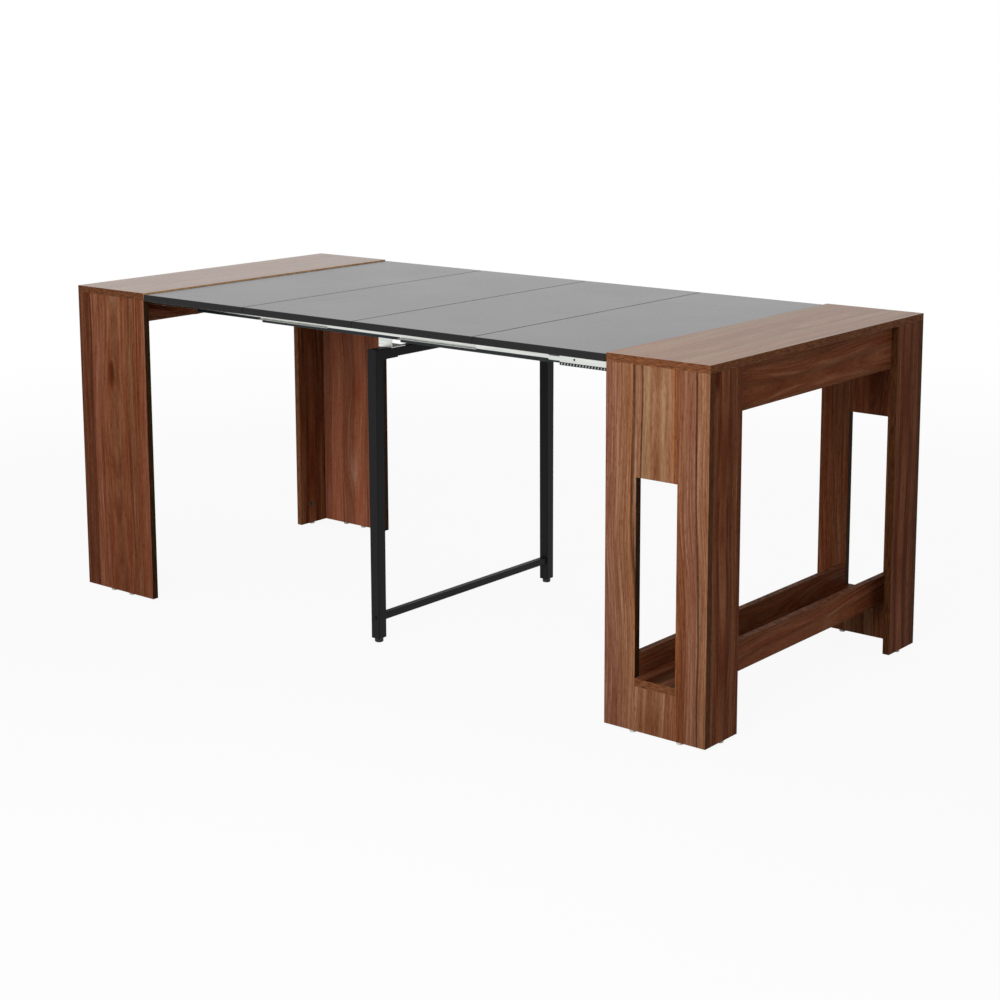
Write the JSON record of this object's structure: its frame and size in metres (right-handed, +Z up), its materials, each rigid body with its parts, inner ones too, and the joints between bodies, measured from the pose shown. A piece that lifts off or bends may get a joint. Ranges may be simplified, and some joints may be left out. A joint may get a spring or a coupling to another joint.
{
  "type": "extending dining table",
  "caption": "Console-to-dining extending table with walnut end frames, loose grey leaves on telescopic slides, a black centre leg and a slotted leaf store in one end.",
  "frame": {"origin": "on the floor, under the middle of the table at its full length", "axes": "+X along the table towards the end that stores the leaves, +Y across it to the far side, +Z up"},
  "size_m": [1.8486, 0.852, 0.76],
  "materials": {
    "walnut_melamine": "satin walnut-pattern board with long dark and light streaks",
    "walnut_melamine_top": "satin walnut-pattern board, grain across the table",
    "charcoal_laminate": "fine matt charcoal laminate with a soft sheen",
    "zinc_plated_steel": "bright zinc plate",
    "cage_steel": "dark oiled steel balls in their strips",
    "black_powder_coat": "fine satin black powder coat",
    "brass_clip": "stamped yellow brass",
    "foot_plastic": "moulded black plastic",
    "glide_plastic": "moulded pale grey plastic"
  },
  "bodies": {
    "storage_end": {"storage_top": "walnut_melamine_top", "storage_side_near": "walnut_melamine", "storage_side_far": "walnut_melamine", "storage_plinth_near": "walnut_melamine", "storage_plinth_far": "walnut_melamine", "storage_corner_near": "walnut_melamine", "storage_corner_far": "walnut_melamine", "storage_apron": "walnut_melamine", "storage_shelf": "walnut_melamine", "storage_rail_inner": "walnut_melamine", "storage_rail_outer": "walnut_melamine", "storage_cleat_near": "walnut_melamine", "storage_cleat_far": "walnut_melamine", "storage_glides": "glide_plastic", "storage_cam_locks": "zinc_plated_steel", "slide_1_outer": "zinc_plated_steel", "storage_slide_screws": "zinc_plated_steel"},
    "plain_end": {"plain_top": "walnut_melamine_top", "plain_side_near": "walnut_melamine", "plain_side_far": "walnut_melamine", "plain_corner_near": "walnut_melamine", "plain_corner_far": "walnut_melamine", "plain_apron": "walnut_melamine", "plain_cleat_near": "walnut_melamine", "plain_cleat_far": "walnut_melamine", "plain_glides": "glide_plastic", "plain_cam_locks": "zinc_plated_steel", "slide_3_inner": "zinc_plated_steel", "plain_slide_screws": "zinc_plated_steel"},
    "slide_stage_1": {"slide_1_middle": "zinc_plated_steel"},
    "slide_stage_2": {"slide_1_inner": "zinc_plated_steel", "slide_2_outer": "zinc_plated_steel", "slide_rivets": "zinc_plated_steel"},
    "centre_leg": {"slide_2_middle": "zinc_plated_steel", "leg_brackets": "zinc_plated_steel", "leg_post_near": "black_powder_coat", "leg_post_far": "black_powder_coat", "leg_top_bar": "black_powder_coat", "leg_lower_bar": "black_powder_coat", "leg_screws": "black_powder_coat"},
    "slide_stage_4": {"slide_2_inner": "zinc_plated_steel", "slide_3_outer": "zinc_plated_steel", "slide_spacers": "zinc_plated_steel"},
    "slide_stage_5": {"slide_3_middle": "zinc_plated_steel"},
    "ball_cage_1": {"ball_cage_1": "cage_steel"},
    "ball_cage_2": {"ball_cage_2": "cage_steel"},
    "ball_cage_3": {"ball_cage_3": "cage_steel"},
    "ball_cage_4": {"ball_cage_4": "cage_steel"},
    "ball_cage_5": {"ball_cage_5": "cage_steel"},
    "ball_cage_6": {"ball_cage_6": "cage_steel"},
    "leaf_1": {"leaf_1": "charcoal_laminate"},
    "leaf_2": {"leaf_2": "charcoal_laminate", "leaf_clips_2": "brass_clip"},
    "leaf_3": {"leaf_3": "charcoal_laminate", "leaf_clips_3": "brass_clip"},
    "leaf_4": {"leaf_4": "charcoal_laminate", "leaf_clips_4": "brass_clip"},
    "foot_near": {"foot_near": "foot_plastic"},
    "foot_far": {"foot_far": "foot_plastic"}
  },
  "joints": [
    {"name": "push_shut", "type": "slide", "parent": "storage_end", "child": "plain_end", "axis": [1, 0, 0], "range_m": [0, 1.3635]},
    {"name": "slide_stage_1_slide", "type": "slide", "parent": "storage_end", "child": "slide_stage_1", "axis": [1, 0, 0], "range_m": [0, 0.2274]},
    {"name": "slide_stage_2_slide", "type": "slide", "parent": "storage_end", "child": "slide_stage_2", "axis": [1, 0, 0], "range_m": [0, 0.4547]},
    {"name": "centre_leg_slide", "type": "slide", "parent": "storage_end", "child": "centre_leg", "axis": [1, 0, 0], "range_m": [0, 0.6819]},
    {"name": "slide_stage_4_slide", "type": "slide", "parent": "storage_end", "child": "slide_stage_4", "axis": [1, 0, 0], "range_m": [0, 0.9092]},
    {"name": "slide_stage_5_slide", "type": "slide", "parent": "storage_end", "child": "slide_stage_5", "axis": [1, 0, 0], "range_m": [0, 1.1364]},
    {"name": "ball_cage_1_roll", "type": "slide", "parent": "storage_end", "child": "ball_cage_1", "axis": [1, 0, 0], "range_m": [0, 0.1138]},
    {"name": "ball_cage_2_roll", "type": "slide", "parent": "storage_end", "child": "ball_cage_2", "axis": [1, 0, 0], "range_m": [0, 0.3411]},
    {"name": "ball_cage_3_roll", "type": "slide", "parent": "storage_end", "child": "ball_cage_3", "axis": [1, 0, 0], "range_m": [0, 0.5683]},
    {"name": "ball_cage_4_roll", "type": "slide", "parent": "storage_end", "child": "ball_cage_4", "axis": [1, 0, 0], "range_m": [0, 0.7956]},
    {"name": "ball_cage_5_roll", "type": "slide", "parent": "storage_end", "child": "ball_cage_5", "axis": [1, 0, 0], "range_m": [0, 1.0228]},
    {"name": "ball_cage_6_roll", "type": "slide", "parent": "storage_end", "child": "ball_cage_6", "axis": [1, 0, 0], "range_m": [0, 1.2501]},
    {"name": "leaf_1_lift", "type": "slide", "parent": "storage_end", "child": "leaf_1", "axis": [0, 0, 1], "range_m": [0, 0.3411]},
    {"name": "leaf_2_lift", "type": "slide", "parent": "storage_end", "child": "leaf_2", "axis": [0, 0, 1], "range_m": [0, 0.3411]},
    {"name": "leaf_3_lift", "type": "slide", "parent": "storage_end", "child": "leaf_3", "axis": [0, 0, 1], "range_m": [0, 0.3411]},
    {"name": "leaf_4_lift", "type": "slide", "parent": "storage_end", "child": "leaf_4", "axis": [0, 0, 1], "range_m": [0, 0.3411]},
    {"name": "foot_near_adjust", "type": "slide", "parent": "centre_leg", "child": "foot_near", "axis": [0, 0, -1], "range_m": [0, 0.008]},
    {"name": "foot_far_adjust", "type": "slide", "parent": "centre_leg", "child": "foot_far", "axis": [0, 0, -1], "range_m": [0, 0.008]}
  ],
  "couplings": [
    {"joint": "slide_stage_1_slide", "follows": "push_shut", "ratio": 0.16667},
    {"joint": "slide_stage_2_slide", "follows": "push_shut", "ratio": 0.33333},
    {"joint": "centre_leg_slide", "follows": "push_shut", "ratio": 0.5},
    {"joint": "slide_stage_4_slide", "follows": "push_shut", "ratio": 0.66667},
    {"joint": "slide_stage_5_slide", "follows": "push_shut", "ratio": 0.83333},
    {"joint": "ball_cage_1_roll", "follows": "push_shut", "ratio": 0.083333},
    {"joint": "ball_cage_2_roll", "follows": "push_shut", "ratio": 0.25},
    {"joint": "ball_cage_3_roll", "follows": "push_shut", "ratio": 0.41667},
    {"joint": "ball_cage_4_roll", "follows": "push_shut", "ratio": 0.58333},
    {"joint": "ball_cage_5_roll", "follows": "push_shut", "ratio": 0.75},
    {"joint": "ball_cage_6_roll", "follows": "push_shut", "ratio": 0.91667},
    {"joint": "leaf_1_lift", "follows": "push_shut", "ratio": 0.25},
    {"joint": "leaf_2_lift", "follows": "push_shut", "ratio": 0.25},
    {"joint": "leaf_3_lift", "follows": "push_shut", "ratio": 0.25},
    {"joint": "leaf_4_lift", "follows": "push_shut", "ratio": 0.25}
  ]
}
